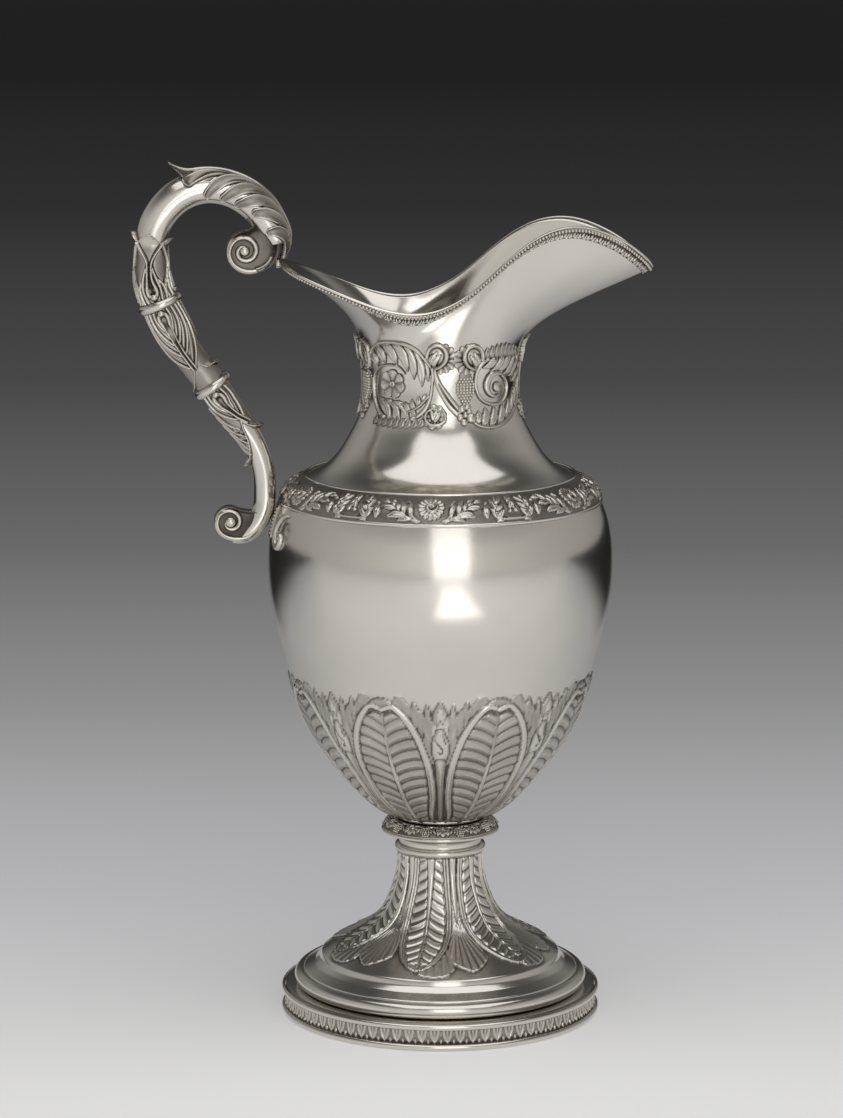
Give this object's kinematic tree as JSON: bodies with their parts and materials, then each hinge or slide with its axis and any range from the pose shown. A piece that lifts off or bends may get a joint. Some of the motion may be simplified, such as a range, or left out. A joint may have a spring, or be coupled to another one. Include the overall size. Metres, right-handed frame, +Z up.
{
  "type": "silver water pitcher",
  "caption": "Footed water pitcher with an ovoid bowl, concave neck, raised pouring lip and scrolled handle, with leaf and scroll relief bands.",
  "frame": {"origin": "middle of the foot's rest face, on the axis of the bowl", "axes": "+Z up along the vessel's axis, +X towards the spout, handle towards -X"},
  "size_m": [0.2466, 0.164, 0.4076],
  "materials": {
    "polished_silver": "polished, soft from hand use",
    "chased_silver": "chased relief with darkened recesses",
    "cast_silver": "cast and chased, polished on the high parts",
    "silver_wire": "drawn wire, polished"
  },
  "bodies": {
    "root": {"foot_lower_wire": "silver_wire", "foot_leaf_band": "chased_silver", "foot_upper_wire": "silver_wire", "foot_flange": "polished_silver", "foot_step": "polished_silver", "foot_dome": "chased_silver", "stem_ring": "silver_wire", "stem_cap": "polished_silver", "collar": "polished_silver", "collar_grape_band": "chased_silver", "collar_edge_wire": "silver_wire", "bowl_seat_ring": "silver_wire", "bowl": "polished_silver", "shoulder_lower_wire": "silver_wire", "shoulder_band": "chased_silver", "shoulder_upper_wire": "silver_wire", "shoulder_neck": "polished_silver", "neck_scroll_band": "cast_silver", "mouth": "polished_silver", "rim_leaf_band": "chased_silver", "rim_wire": "silver_wire", "handle_leaf": "cast_silver", "handle_upper_volute": "cast_silver", "handle_rim_pad": "cast_silver", "handle_upper_tube": "polished_silver", "handle_calyx": "cast_silver", "handle_upper_ring": "polished_silver", "handle_grip": "cast_silver", "handle_lower_ring": "polished_silver", "handle_lower_sheath": "cast_silver", "handle_lower_tube": "polished_silver", "handle_lower_volute": "cast_silver", "handle_body_plate": "cast_silver", "handle_plate_scrolls": "cast_silver"}
  },
  "joints": []
}
